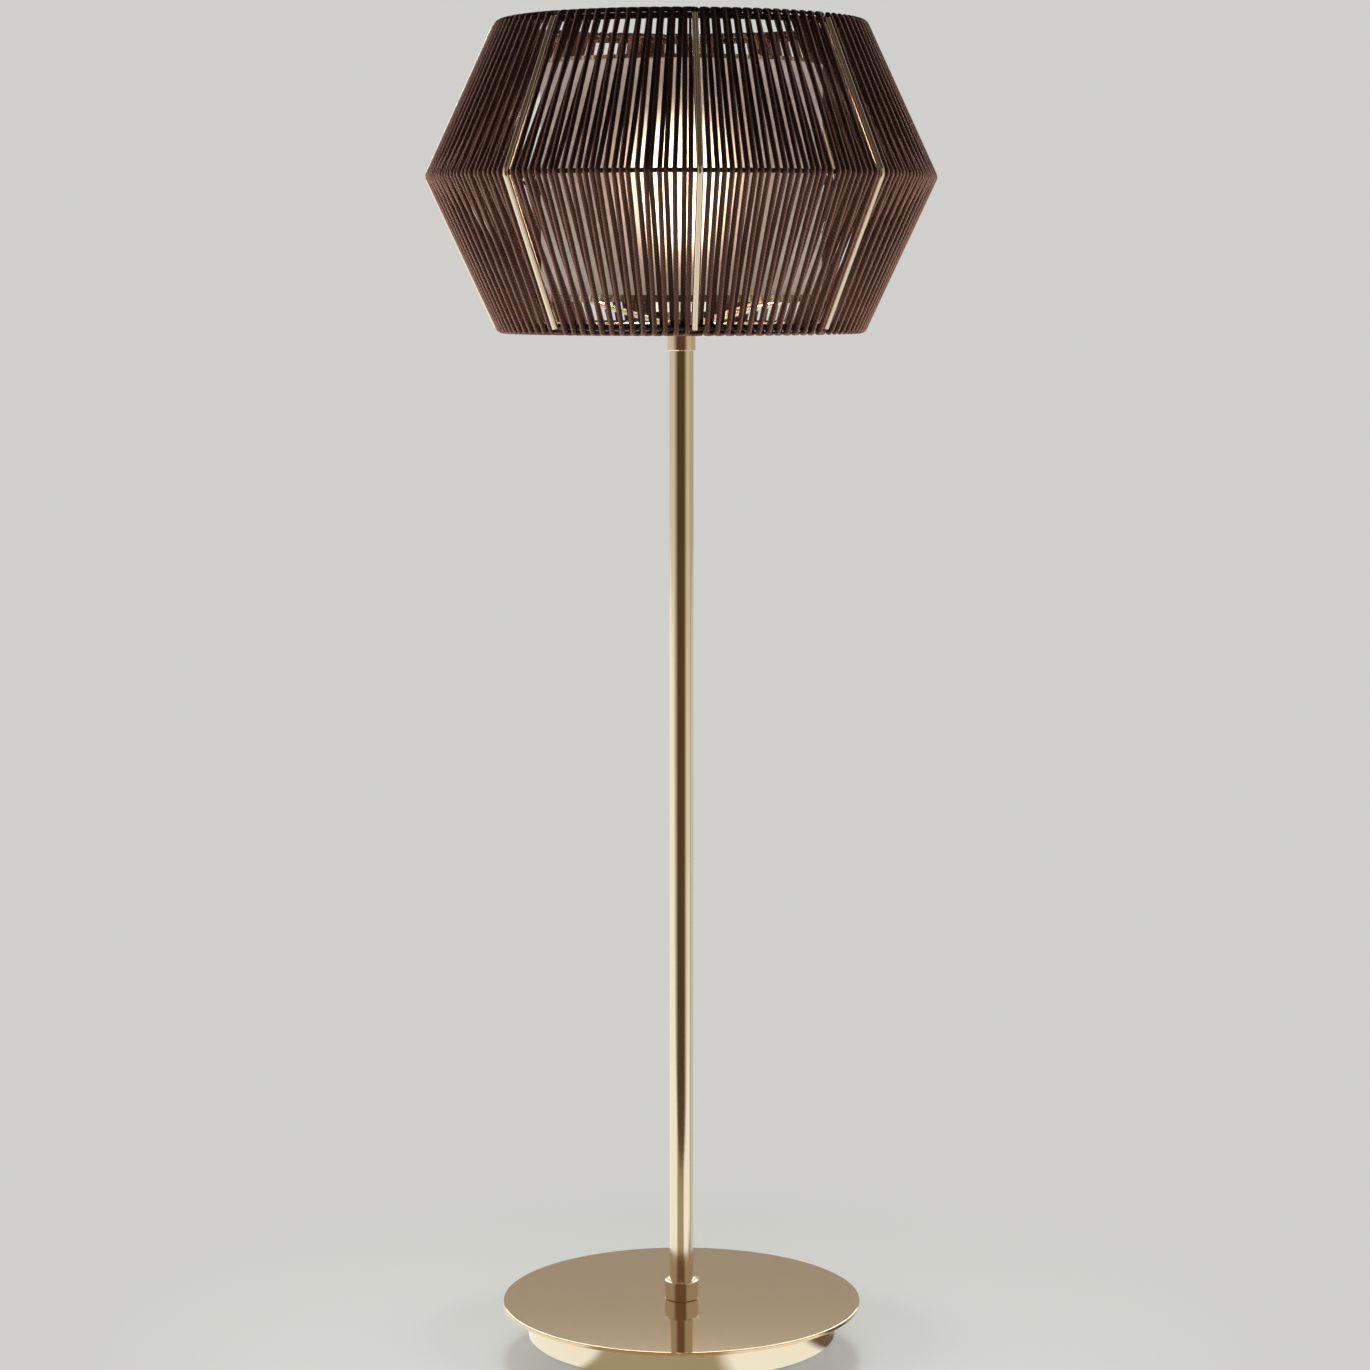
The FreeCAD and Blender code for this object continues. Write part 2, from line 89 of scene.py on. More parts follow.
def turned(name, outline, rounding, segments=192):
    """Piece turned about the stem's axis from a closed outline, with its edges broken."""
    points = rounded(outline, rounding)
    vertices = []
    rings = []
    for point in points:
        if on_axis(point):
            rings.append([len(vertices)] * segments)
            vertices.append((0, 0, point.y))
            continue
        rings.append(list(range(len(vertices), len(vertices) + segments)))
        for step in range(segments):
            angle = math.tau * step / segments
            vertices.append((point.x * math.cos(angle), point.x * math.sin(angle), point.y))
    faces = []
    for index, ring in enumerate(rings):
        following = rings[(index + 1) % len(rings)]
        if ring[0] == ring[1] and following[0] == following[1]:
            continue
        for step in range(segments):
            turn = (step + 1) % segments
            corners = [ring[step], ring[turn], following[turn], following[step]]
            faces.append(list(dict.fromkeys(corners)))
    mesh = bpy.data.meshes.new(name)
    mesh.from_pydata(vertices, [], faces)
    mesh.validate()
    mesh.shade_smooth()
    piece = bpy.data.objects.new(name, mesh)
    bpy.context.scene.collection.objects.link(piece)
    return piece


def dress(piece, material):
    """Gives every face of a piece one material."""
    piece.data.materials.clear()
    piece.data.materials.append(material)


def stand_for(piece, node, body, material):
    """Puts a modelled piece in the place of a part of the frame."""
    dress(piece, material)
    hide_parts(node)
    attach(piece, body)


def finish(name, metallic=0.0):
    """New material with its shader, and the place of each point in metres."""
    material = bpy.data.materials.new(name)
    material.use_nodes = True
    tree = material.node_tree
    shader = tree.nodes["Principled BSDF"]
    shader.inputs["Metallic"].default_value = metallic
    place = tree.nodes.new("ShaderNodeTexCoord").outputs["Object"]
    return material, tree, shader, place


def add_group(name, inputs, outputs):
    """Empty shader group with named sockets: inputs with their values, and outputs."""
    group = bpy.data.node_groups.new(name, "ShaderNodeTree")
    for label, kind, value in inputs:
        socket = group.interface.new_socket(label, in_out="INPUT", socket_type=kind)
        if value is not None:
            socket.default_value = value
    for label, kind in outputs:
        group.interface.new_socket(label, in_out="OUTPUT", socket_type=kind)
    return group, group.nodes.new("NodeGroupInput"), group.nodes.new("NodeGroupOutput")


def place_group(tree, group, **values):
    """Group placed in a material with its own values."""
    node = tree.nodes.new("ShaderNodeGroup")
    node.node_tree = group
    for label, value in values.items():
        node.inputs[label.replace("_", " ")].default_value = value
    return node


noise_average = 0.5


def noise(tree, vector, scale, detail=3.0, roughness=0.55):
    """Noise over the surface, between 0 and 1."""
    node = tree.nodes.new("ShaderNodeTexNoise")
    node.inputs["Scale"].default_value = scale
    node.inputs["Detail"].default_value = detail
    node.inputs["Roughness"].default_value = roughness
    tree.links.new(vector, node.inputs["Vector"])
    return node.outputs["Fac"]


def calc(tree, operation, first, second=0.0, third=0.0):
    """One step of arithmetic on values or sockets."""
    node = tree.nodes.new("ShaderNodeMath")
    node.operation = operation
    for socket, value in zip(node.inputs, (first, second, third)):
        if isinstance(value, (int, float)):
            socket.default_value = value
        else:
            tree.links.new(value, socket)
    return node.outputs[0]


def blend_colour(tree, factor, first, second):
    """Colour between two colours."""
    node = tree.nodes.new("ShaderNodeMix")
    node.data_type = "RGBA"
    factor_socket, first_socket, second_socket = (node.inputs[index] for index in (0, 6, 7))
    for socket, value in ((factor_socket, factor), (first_socket, first), (second_socket, second)):
        if isinstance(value, (int, float, tuple)):
            socket.default_value = value
        else:
            tree.links.new(value, socket)
    return node.outputs[2]


def paint(tree, shader, mask, first, second, label="Base Color"):
    """Colour between two colours on one of a shader's sockets."""
    tree.links.new(blend_colour(tree, mask, first, second), shader.inputs[label])


def bump(tree, shader, height, strength, distance):
    """Fine relief on a shader."""
    node = tree.nodes.new("ShaderNodeBump")
    node.inputs["Strength"].default_value = strength
    node.inputs["Distance"].default_value = distance
    tree.links.new(height, node.inputs["Height"])
    tree.links.new(node.outputs["Normal"], shader.inputs["Normal"])


def fibre_group():
    """Short tangled fibres: a mask of light fibres and their height."""
    group, given, result = add_group(
        "fibres",
        [("Place", "NodeSocketVector", None), ("Fibres Per Metre", "NodeSocketFloat", 1500.0)],
        [("Mask", "NodeSocketFloat"), ("Height", "NodeSocketFloat")],
    )
    spread = group.nodes.new("ShaderNodeVectorMath")
    spread.operation = "SCALE"
    group.links.new(given.outputs["Place"], spread.inputs[0])
    group.links.new(given.outputs["Fibres Per Metre"], spread.inputs["Scale"])
    fine = noise(group, spread.outputs[0], scale=1.0, detail=4.0, roughness=0.7)
    coarse = noise(group, spread.outputs[0], scale=0.12, detail=2.0)
    mask = calc(group, "MULTIPLY", fine, coarse)
    group.links.new(mask, result.inputs["Mask"])
    group.links.new(fine, result.inputs["Height"])
    return group


fibres = fibre_group()


def felt_finish():
    material, tree, shader, place = finish("black_felt")
    fuzz = place_group(tree, fibres, Fibres_Per_Metre=2600.0)
    tree.links.new(place, fuzz.inputs["Place"])
    paint(tree, shader, fuzz.outputs["Mask"], felt_colour, felt_light_fibre)
    shader.inputs["Roughness"].default_value = felt_roughness
    shader.inputs["Sheen Weight"].default_value = felt_sheen
    bump(tree, shader, fuzz.outputs["Height"], strength=0.6, distance=0.0004)
    return material


felt_low, felt_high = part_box("felt_pad")
felt_disc = turned(
    "felt_disc",
    [(0, felt_low.z), (felt_high.x, felt_low.z), (felt_high.x, felt_high.z), (0, felt_high.z)],
    felt_rounding,
)
ragged = random.Random(felt_seed)
for vertex in felt_disc.data.vertices:
    if felt_low.z + felt_rounding / 2 < vertex.co.z < felt_high.z - felt_rounding / 2:
        inset = 1 - felt_raggedness * ragged.random() / felt_high.x
        vertex.co.x *= inset
        vertex.co.y *= inset
stand_for(felt_disc, "felt_pad", "stand", felt_finish())


# Bottom cover, screws and clamp: zinc-plated steel pressings and stock fasteners inside the drum.
# The cover is screwed to the weight, and nut and washer pull stem, plate, drum and weight together.
zinc_colour = (0.50, 0.51, 0.52, 1)
zinc_worn = (0.40, 0.41, 0.42, 1)


def stretch(tree, vector, scale):
    """Place with each axis scaled by itself."""
    node = tree.nodes.new("ShaderNodeVectorMath")
    node.operation = "MULTIPLY"
    node.inputs[1].default_value = scale
    tree.links.new(vector, node.inputs[0])
    return node.outputs[0]


def polish_group():
    """Marks of polishing: fine lines and faint smears, for roughness, tint and relief."""
    line_share = 0.6
    smear_share = 0.4
    group, given, result = add_group(
        "polish_marks",
        [
            ("Place", "NodeSocketVector", None),
            ("Line Place", "NodeSocketVector", None),
            ("Roughness", "NodeSocketFloat", 0.1),
            ("Spread", "NodeSocketFloat", 0.05),
        ],
        [
            ("Roughness", "NodeSocketFloat"),
            ("Tint", "NodeSocketFloat"),
            ("Height", "NodeSocketFloat"),
        ],
    )
    lines = noise(group, given.outputs["Line Place"], scale=1.0, detail=4.0, roughness=0.6)
    smears = noise(group, given.outputs["Place"], scale=18.0, detail=3.0, roughness=0.5)
    smear_marks = calc(group, "MULTIPLY", smears, smear_share)
    marks = calc(group, "MULTIPLY_ADD", lines, line_share, smear_marks)
    uneven = calc(group, "SUBTRACT", marks, noise_average)
    uneven = calc(group, "MULTIPLY", uneven, given.outputs["Spread"])
    roughness = calc(group, "ADD", given.outputs["Roughness"], uneven)
    group.links.new(roughness, result.inputs["Roughness"])
    group.links.new(smears, result.inputs["Tint"])
    group.links.new(lines, result.inputs["Height"])
    return group


polish_marks = polish_group()


def metal_finish(name, colour, worn, roughness, spread, line_scale, relief):
    """Solid or plated metal with its polishing lines along the axes where line_scale is small."""
    material, tree, shader, place = finish(name, metallic=1.0)
    marks = place_group(tree, polish_marks, Roughness=roughness, Spread=spread)
    tree.links.new(place, marks.inputs["Place"])
    tree.links.new(stretch(tree, place, line_scale), marks.inputs["Line Place"])
    paint(tree, shader, marks.outputs["Tint"], colour, worn)
    tree.links.new(marks.outputs["Roughness"], shader.inputs["Roughness"])
    bump(tree, shader, marks.outputs["Height"], relief, distance=0.00002)
    return material


zinc_steel = metal_finish(
    "zinc_steel",
    zinc_colour,
    zinc_worn,
    roughness=0.32,
    spread=0.3,
    line_scale=(700, 700, 700),
    relief=0.3,
)
for node in ("bottom_cover", "cover_screws", "base_washer", "base_nut", "lower_nipple"):
    dress(cad[node], zinc_steel)


# Base weight: a disc of grey cast iron that fills the drum and keeps the tall lamp upright.
# Its skin is the raw sand casting, rough and nearly black.
iron_dark = (0.035, 0.034, 0.033, 1)
iron_grey = (0.11, 0.105, 0.10, 1)


def rise(tree, mask, least, most):
    """Value that rises with a mask."""
    return calc(tree, "MULTIPLY_ADD", mask, most - least, least)


def casting_finish():
    material, tree, shader, place = finish("raw_cast_iron", metallic=0.7)
    skin = noise(tree, place, scale=420.0, detail=6.0, roughness=0.65)
    paint(tree, shader, skin, iron_dark, iron_grey)
    tree.links.new(rise(tree, skin, least=0.5, most=0.8), shader.inputs["Roughness"])
    bump(tree, shader, skin, strength=0.5, distance=0.0006)
    return material


dress(cad["base_weight"], casting_finish())


# Base drum: a cup spun from brass sheet, polished and lacquered, the lower step of the base.
# The polishing wheel ran round it, so its faint lines do too.
brass_colour = (0.91, 0.805, 0.61, 1)
brass_deep = (0.855, 0.735, 0.53, 1)
brass_roughness = 0.13
brass_spread = 0.05

brass_round = metal_finish(
    "brass_round",
    brass_colour,
    brass_deep,
    brass_roughness,
    brass_spread,
    line_scale=(40, 40, 2600),
    relief=0.08,
)
dress(cad["base_drum"], brass_round)


# Base plate: a wide disc of rose brass, polished like a mirror, on top of the drum.
# Its edge is broken with a file, which leaves a bright line round the rim.
plate_edge = 0.0005
plate_segments = 256
nipple_hole = 0.0051
rose_colour = (0.85, 0.63, 0.385, 1)
rose_deep = (0.80, 0.58, 0.345, 1)

plate_low, plate_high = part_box("base_plate")
plate_disc = turned(
    "plate_disc",
    [
        (nipple_hole, plate_low.z),
        (plate_high.x, plate_low.z),
        (plate_high.x, plate_high.z),
        (nipple_hole, plate_high.z),
    ],
    plate_edge,
    plate_segments,
)
rose_brass = metal_finish(
    "rose_brass_mirror",
    rose_colour,
    rose_deep,
    roughness=0.06,
    spread=0.03,
    line_scale=(500, 500, 500),
    relief=0.02,
)
stand_for(plate_disc, "base_plate", "stand", rose_brass)


# Cable bush: a moulded black nylon bush in the back of the drum, where the lead comes in.
# It is pushed in from outside, and its barb holds it behind the wall.
bush_colour = (0.014, 0.014, 0.015, 1)
bush_light = (0.022, 0.022, 0.023, 1)


def grain_group():
    """Fine grain of a mould: a mask, which is its height too, and the roughness that it gives."""
    spread = 0.15
    group, given, result = add_group(
        "mould_grain",
        [("Place", "NodeSocketVector", None), ("Roughness", "NodeSocketFloat", 0.4)],
        [("Mask", "NodeSocketFloat"), ("Roughness", "NodeSocketFloat")],
    )
    grain = noise(group, given.outputs["Place"], scale=2400.0, detail=2.0)
    uneven = calc(group, "SUBTRACT", grain, noise_average)
    roughness = calc(group, "MULTIPLY_ADD", uneven, spread, given.outputs["Roughness"])
    group.links.new(grain, result.inputs["Mask"])
    group.links.new(roughness, result.inputs["Roughness"])
    return group


mould_grain = grain_group()


def moulded_finish(name, colour, light, roughness):
    """Moulded plastic with the fine grain of its mould."""
    material, tree, shader, place = finish(name)
    grain = place_group(tree, mould_grain, Roughness=roughness)
    tree.links.new(place, grain.inputs["Place"])
    paint(tree, shader, grain.outputs["Mask"], colour, light)
    tree.links.new(grain.outputs["Roughness"], shader.inputs["Roughness"])
    bump(tree, shader, grain.outputs["Mask"], strength=0.15, distance=0.0001)
    return material


dress(cad["cable_bush"], moulded_finish("black_nylon", bush_colour, bush_light, roughness=0.5))


# Stem: a drawn brass tube, polished lengthwise, with a steel plug brazed in at each end.
# A turned collar hides the joint at the foot, and a second one carries the shade at the head.
tube_wall = 0.0015
tube_edge = 0.0003
collar_edge = 0.0007
collar_bore = 0.00805

brass_drawn = metal_finish(
    "brass_drawn",
    brass_colour,
    brass_deep,
    brass_roughness,
    brass_spread,
    line_scale=(2600, 2600, 24),
    relief=0.06,
)


def turned_tube(name, node, bore, edge):
    """Plain turned ring of the size of a part of the frame."""
    low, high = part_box(node)
    outline = [(bore, low.z), (high.x, low.z), (high.x, high.z), (bore, high.z)]
    return turned(name, outline, edge)


stem_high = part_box("stem_tube")[1]
stem = turned_tube("polished_stem", "stem_tube", stem_high.x - tube_wall, tube_edge)
stand_for(stem, "stem_tube", "stand", brass_drawn)
foot_collar = turned_tube("foot_collar", "lower_collar", collar_bore, collar_edge)
stand_for(foot_collar, "lower_collar", "stand", brass_round)
for node in ("upper_collar", "bearing_washer"):
    dress(cad[node], brass_round)
for node in ("stem_foot_plug", "stem_head_plug", "upper_nipple", "spring_washer", "hub_lock_nut"):
    dress(cad[node], zinc_steel)


# Shade rings: steel rod bent and welded into three hoops, lacquered dark bronze like the cord.
# They carry the ribs and the lacing, and the middle one spreads the cords.
bronze_colour = (0.045, 0.028, 0.020, 1)
bronze_worn = (0.07, 0.045, 0.032, 1)
bronze_gloss = 0.15


def lacquer_finish():
    material, tree, shader, place = finish("bronze_lacquer")
    cloud = noise(tree, place, scale=160.0, detail=4.0)
    paint(tree, shader, cloud, bronze_colour, bronze_worn)
    tree.links.new(rise(tree, cloud, least=0.5, most=0.65), shader.inputs["Roughness"])
    shader.inputs["Specular IOR Level"].default_value = bronze_gloss
    bump(tree, shader, cloud, strength=0.1, distance=0.0002)
    return material


bronze_lacquer = lacquer_finish()
for node in ("bottom_ring", "mid_ring", "top_ring"):
    dress(cad[node], bronze_lacquer)


# Ribs: brass rods bent once at the middle ring and brazed to the three hoops.
# They are polished lengthwise and stand a little proud of the cords.
rib_count = 8
for index in range(rib_count):
    dress(cad["rib_%d" % (index + 1)], brass_drawn)


# Cords: waxed brown cotton cord, laced down and up between the rim rings over the middle ring.
# Each strand meets one rim ring from outside and leaves the other from inside, then turns back.
# The last loop of a bay on the top ring reaches over the head of the next rib.
cord_radius = 0.0016
cord_clearance = 0.00015
cord_pair_step = 0.0029
cord_rib_gap = 0.0005
cord_mid_rib_gap = 0.0018
cord_behind_rib = 0.0019
rib_rod = 0.0022
rib_first_angle = math.radians(4)
pairs_per_bay = 13
strands_per_bay = 2 * pairs_per_bay
bay_angle = math.tau / rib_count
cord_sides = 12
cord_seed = 40
loop_steps = 18
bend_steps = 4
mid_unevenness = 0.0006
mid_most_uneven = 0.0009
rim_unevenness = 0.00005
shift_over_ring = (0.25, 0.47)
swerve_over_ring = (0.06, 0.66)
loop_swerve = 0.0007
rib_swerve = 0.0003
rib_cover = 0.0028
return_inside = (0.50, 0.95)
cord_dark = (0.050, 0.027, 0.020, 1)
cord_light = (0.185, 0.113, 0.088, 1)
cord_red = (0.108, 0.044, 0.028, 1)
cord_gloss = 0.08
cord_sheen = 0.03


def hoop_size(node):
    """Radius, rod radius and height of a hoop of the frame."""
    low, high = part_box(node)
    rod = (high.z - low.z) / 2
    return high.x - rod, rod, (high.z + low.z) / 2


rim_radius, rim_rod, top_height = hoop_size("top_ring")
mid_radius, mid_rod, mid_height = hoop_size("mid_ring")
rim_rise = top_height - mid_height
rim_wrap = rim_rod + cord_clearance + cord_radius
mid_wrap = mid_rod + cord_clearance + cord_radius
rim_first = math.asin((rib_rod + cord_rib_gap + cord_radius) / rim_radius)
behind_rib = math.asin(cord_behind_rib / rim_radius)
mid_first = math.asin((rib_rod + cord_mid_rib_gap + cord_radius) / mid_radius)
pair_spread = cord_pair_step / rim_radius
top_span = bay_angle - rim_first - behind_rib
bottom_span = bay_angle - 2 * rim_first
top_pair_space = (top_span - (pairs_per_bay - 1) * pair_spread) / pairs_per_bay
bottom_pair_space = (bottom_span - pairs_per_bay * pair_spread) / (pairs_per_bay - 1)
mid_step = (bay_angle - 2 * mid_first) / (strands_per_bay - 1)
mid_reach = mid_radius - rim_radius
crossing = math.asin((rim_wrap + mid_wrap) / math.hypot(mid_reach, rim_rise))
inside_tilt = math.atan2(mid_reach, rim_rise) + crossing
corner_radius = mid_radius + (mid_wrap + cord_clearance) / math.cos(inside_tilt)


def polar(radius, angle, height):
    """Point at an angle counted from the front (-Y) towards +X."""
    return Vector((radius * math.sin(angle), -radius * math.cos(angle), height))


class RimRun:
    """Straight run of a strand from its corner at the middle ring to a rim ring: up is 1 or -1."""

    def __init__(self, corner, angle, side, up):
        self.angle = angle
        self.up = Vector((0, 0, up))
        toward = polar(rim_radius, angle, mid_height + up * rim_rise) - corner
        level = Vector((toward.x, toward.y, 0))
        swing = math.asin(rim_wrap / math.hypot(level.length, rim_rise))
        slope = math.atan2(rim_rise, level.length) + side * swing
        self.level = level.normalized()
        self.direction = slope + side * math.pi / 2

    def place(self, angle, direction, level):
        centre = polar(rim_radius, angle, mid_height + self.up.z * rim_rise)
        return centre + (level * math.cos(direction) + self.up * math.sin(direction)) * rim_wrap

    def touch(self):
        """Where the run meets the ring."""
        return self.place(self.angle, self.direction, self.level)


def ease(share, start, end):
    """Smooth step from 0 at the start to 1 at the end."""
    part = max(0.0, min(1.0, (share - start) / (end - start)))
    return part * part * (3 - 2 * part)


def loop_points(arriving, leaving, swerve, overrun=0.0):
    """Turn of the cord round a rim ring, from the end of one run to the start of the next.

    It swerves a little beyond both, and may overrun the second one before it comes back.
    """
    points = []
    swerve_start, swerve_end = swerve_over_ring
    reach = leaving.angle - arriving.angle + overrun / rim_radius
    for step in range(1, loop_steps):
        share = step / loop_steps
        moved = ease(share, *shift_over_ring)
        angle = arriving.angle + reach * moved
        angle -= overrun / rim_radius * ease(share, *return_inside)
        slack = max(0.0, min(1.0, (share - swerve_start) / (swerve_end - swerve_start)))
        angle -= math.sin(math.tau * slack) * swerve / rim_radius
        direction = arriving.direction + (leaving.direction - arriving.direction) * share
        level = arriving.level.lerp(leaving.level, moved).normalized()
        points.append(arriving.place(angle, direction, level))
    return points


def bend_points(before, corner, after):
    """Arc of the cord over the middle ring, tangent to the runs on both sides."""
    arriving = (corner - before).normalized()
    leaving = (after - corner).normalized()
    half_turn = arriving.angle(leaving) / 2
    inward = (leaving - arriving).normalized()
    onward = (arriving + leaving).normalized()
    centre = corner + inward * (mid_wrap / math.cos(half_turn))
    points = []
    for step in range(bend_steps + 1):
        angle = half_turn * (2 * step / bend_steps - 1)
        points.append(centre + (onward * math.sin(angle) - inward * math.cos(angle)) * mid_wrap)
    return points


def strand_runs(index, uneven):
    """Corner, upper and lower run of one strand of the bay at angle zero."""
    side = 1 if index % 2 == 0 else -1
    mid_angle = mid_first + mid_step * index
    if 0 < index < strands_per_bay - 1:
        offset = uneven.gauss(0, mid_unevenness)
        mid_angle += max(-mid_most_uneven, min(mid_most_uneven, offset)) / mid_radius
    odd, even = (index + 1) // 2, index // 2
    nudge = uneven.uniform(-1, 1) * rim_unevenness / rim_radius
    top_angle = rim_first + odd * top_pair_space + even * pair_spread + nudge
    bottom_angle = rim_first + odd * pair_spread + even * bottom_pair_space + nudge
    corner = polar(corner_radius, mid_angle, mid_height)
    return corner, RimRun(corner, top_angle, side, 1), RimRun(corner, bottom_angle, -side, -1)


def bay_path(uneven):
    """Line of the cord through one bay, from the first strand's foot to that of the next bay."""
    strands = [strand_runs(index, uneven) for index in range(strands_per_bay)]
    points = []
    for index, (corner, upper, lower) in enumerate(strands):
        goes_up = index % 2 == 0
        first, last = (lower, upper) if goes_up else (upper, lower)
        points.append(first.touch())
        points += bend_points(first.touch(), corner, last.touch())
        points.append(last.touch())
        if index + 1 < strands_per_bay:
            onward = strands[index + 1][1 if goes_up else 2]
            swerve = rib_swerve if index == 0 else loop_swerve
            overrun = rib_cover if index == strands_per_bay - 2 else 0.0
            points += loop_points(last, onward, swerve, overrun)
    next_corner = polar(corner_radius, bay_angle + mid_first, mid_height)
    next_foot = RimRun(next_corner, bay_angle + rim_first, -1, -1)
    points += loop_points(last, next_foot, rib_swerve)
    points.append(next_foot.touch())
    return points


def cord_mesh(name, path):
    """Round cord along a line, with its length and its turn as texture coordinates."""
    vertices = []
    lengths = []
    length = 0.0
    side = Vector((1, 0, 0))
    for index, point in enumerate(path):
        before = path[max(index - 1, 0)]
        after = path[min(index + 1, len(path) - 1)]
        heading = ((point - before).normalized() + (after - point).normalized()).normalized()
        side = (side - heading * side.dot(heading)).normalized()
        across = heading.cross(side)
        length += (point - before).length
        lengths.append(length)
        for turn in range(cord_sides):
            angle = math.tau * turn / cord_sides
            outward = side * math.cos(angle) + across * math.sin(angle)
            vertices.append(point + outward * cord_radius)
    faces = []
    corners = []
    for index in range(len(path) - 1):
        for turn in range(cord_sides):
            onward = (turn + 1) % cord_sides
            row, next_row = index * cord_sides, (index + 1) * cord_sides
            faces.append((row + turn, row + onward, next_row + onward, next_row + turn))
            low, high = turn / cord_sides, (turn + 1) / cord_sides
            corners += [(lengths[index], low), (lengths[index], high)]
            corners += [(lengths[index + 1], high), (lengths[index + 1], low)]
    last = (len(path) - 1) * cord_sides
    faces.append(tuple(reversed(range(cord_sides))))
    faces.append(tuple(range(last, last + cord_sides)))
    corners += [(0.0, turn / cord_sides) for turn in range(cord_sides)]
    corners += [(length, turn / cord_sides) for turn in range(cord_sides)]
    mesh = bpy.data.meshes.new(name)
    mesh.from_pydata(vertices, [], faces)
    lay = mesh.uv_layers.new(name="lay")
    for spot, corner in zip(lay.data, corners):
        spot.uv = corner
    mesh.shade_smooth()
    return mesh


def cord_finish():
    """Twisted plies with a little wax: painted shade between the plies, lighter where fibres stand
    up.
    """
    ply_pitch = 0.007
    plies = 3
    ply_painted_light = 0.7
    fibre_light = 0.5
    fibre_height = 0.3
    most_red = 0.5
    material, tree, shader, place = finish("waxed_cord")
    lay = tree.nodes.new("ShaderNodeSeparateXYZ")
    lay_place = tree.nodes.new("ShaderNodeUVMap")
    lay_place.uv_map = "lay"
    tree.links.new(lay_place.outputs["UV"], lay.inputs[0])
    along = calc(tree, "DIVIDE", lay.outputs["X"], ply_pitch)
    twist = calc(tree, "MULTIPLY", calc(tree, "ADD", along, lay.outputs["Y"]), math.pi * plies)
    # Painted shade: the grooves between the plies are darker and their crowns lighter, on top of
    # the bump that gives the plies their relief.
    ply = calc(tree, "ABSOLUTE", calc(tree, "SINE", twist))
    fuzz = place_group(tree, fibres, Fibres_Per_Metre=3200.0)
    tree.links.new(place, fuzz.inputs["Place"])
    patch = noise(tree, place, scale=45.0, detail=2.0)
    shade = calc(tree, "MULTIPLY", ply, rise(tree, patch, least=0.15, most=1.05))
    shade = calc(tree, "MULTIPLY", shade, ply_painted_light)
    shade = calc(tree, "MULTIPLY_ADD", fuzz.outputs["Mask"], fibre_light, shade)
    brown = blend_colour(tree, shade, cord_dark, cord_light)
    redness = calc(tree, "MULTIPLY", noise(tree, place, scale=28.0, detail=2.0), most_red)
    paint(tree, shader, redness, brown, cord_red)
    tree.links.new(rise(tree, patch, least=0.5, most=0.7), shader.inputs["Roughness"])
    shader.inputs["Specular IOR Level"].default_value = cord_gloss
    shader.inputs["Sheen Weight"].default_value = cord_sheen
    height = calc(tree, "MULTIPLY_ADD", fuzz.outputs["Height"], fibre_height, ply)
    bump(tree, shader, height, strength=0.5, distance=0.0003)
    return material


waxed_cord = cord_finish()
for index in range(rib_count):
    bay_name = "laced_cord_%d" % (index + 1)
    mesh = cord_mesh(bay_name, bay_path(random.Random(cord_seed + index)))
    mesh.transform(Matrix.Rotation(rib_first_angle + bay_angle * index, 4, "Z"))
    laced_cord = bpy.data.objects.new(bay_name, mesh)
    bpy.context.scene.collection.objects.link(laced_cord)
    stand_for(laced_cord, "cord_bay_%d" % (index + 1), "shade", waxed_cord)


# Spider: a turned brass hub on the head of the stem, with brazed brass arms to the bottom ring.
# Four thinner arms rise from it to the diffuser.
arm_count = 4
brass_arm = metal_finish(
    "brass_polished_rod",
    brass_colour,
    brass_deep,
    roughness=0.14,
    spread=0.08,
    line_scale=(300, 300, 300),
    relief=0.05,
)
dress(cad["spider_hub"], brass_round)
for index in range(arm_count):
    dress(cad["spider_arm_%d" % (index + 1)], brass_arm)
    dress(cad["diffuser_arm_%d" % (index + 1)], brass_arm)


# Diffuser: a sleeve of satin opal acrylic that hides the bulb, held in two brass channel rings.
# Lit from inside, it glows a warm pinkish white and is brightest in front of the bulb; besides the
# bulb's light that it lets through, a faint painted glow is added all over it.
sleeve_wall = 0.002
sleeve_edge = 0.0004
opal_colour = (0.31, 0.272, 0.25, 1)
opal_pale = (0.335, 0.298, 0.276, 1)
opal_painted_glow = (1.0, 0.80, 0.72, 1)
opal_painted_glow_dim = (0.9, 0.71, 0.63, 1)
opal_transmission = 0.6
opal_ior = 1.25
opal_painted_glow_strength = 0.10


def haze_group():
    """Faint clouds in opal glass and acrylic."""
    group, given, result = add_group(
        "opal_haze",
        [("Place", "NodeSocketVector", None), ("Clouds Per Metre", "NodeSocketFloat", 30.0)],
        [("Mask", "NodeSocketFloat")],
    )
    clouds = group.nodes.new("ShaderNodeTexNoise")
    clouds.inputs["Detail"].default_value = 3.0
    group.links.new(given.outputs["Place"], clouds.inputs["Vector"])
    group.links.new(given.outputs["Clouds Per Metre"], clouds.inputs["Scale"])
    group.links.new(clouds.outputs["Fac"], result.inputs["Mask"])
    return group


opal_haze = haze_group()


def opal_finish():
    material, tree, shader, place = finish("satin_opal")
    clouds = place_group(tree, opal_haze, Clouds_Per_Metre=30.0)
    tree.links.new(place, clouds.inputs["Place"])
    haze = clouds.outputs["Mask"]
    paint(tree, shader, haze, opal_colour, opal_pale)
    tree.links.new(rise(tree, haze, least=0.52, most=0.58), shader.inputs["Roughness"])
    shader.inputs["Transmission Weight"].default_value = opal_transmission
    shader.inputs["IOR"].default_value = opal_ior
    # Painted glow: a faint emission over the whole sleeve, on top of the bulb's light that passes
    # through it.
    paint(tree, shader, haze, opal_painted_glow_dim, opal_painted_glow, "Emission Color")
    shader.inputs["Emission Strength"].default_value = opal_painted_glow_strength
    return material


